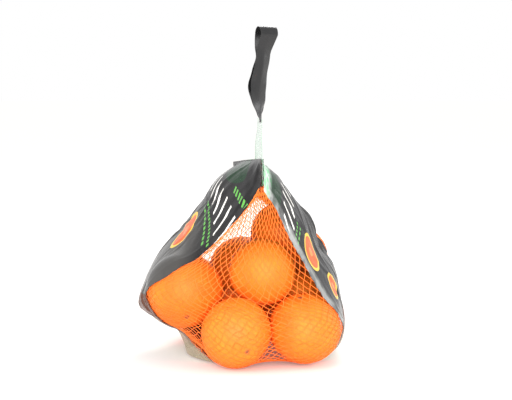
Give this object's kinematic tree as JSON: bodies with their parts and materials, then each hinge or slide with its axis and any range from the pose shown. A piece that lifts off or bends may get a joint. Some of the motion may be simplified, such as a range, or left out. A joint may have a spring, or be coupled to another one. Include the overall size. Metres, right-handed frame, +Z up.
{
  "type": "net of oranges",
  "caption": "Upright net bag of whole oranges with a printed film panel on each side, a clear seal strip on top and a looped strap handle.",
  "frame": {"origin": "middle of the bag's bounding box, on the surface that it stands on", "axes": "+Z up; the net shows on the -Y and +Y sides, the film panels face -X and +X, and the handle leans to +X at the -Y end"},
  "size_m": [0.225, 0.2334, 0.361],
  "materials": {
    "net_and_fruit": "orange fruit in a fine orange net",
    "film": "thin glossy dark film with a printed front",
    "clear_film": "clear film with pale green specks",
    "strap": "black strap with a soft shine"
  },
  "bodies": {
    "root": {"net_of_oranges": "net_and_fruit", "film_left": "film", "film_right": "film", "top_seal": "clear_film", "handle_strap": "strap"}
  },
  "joints": []
}
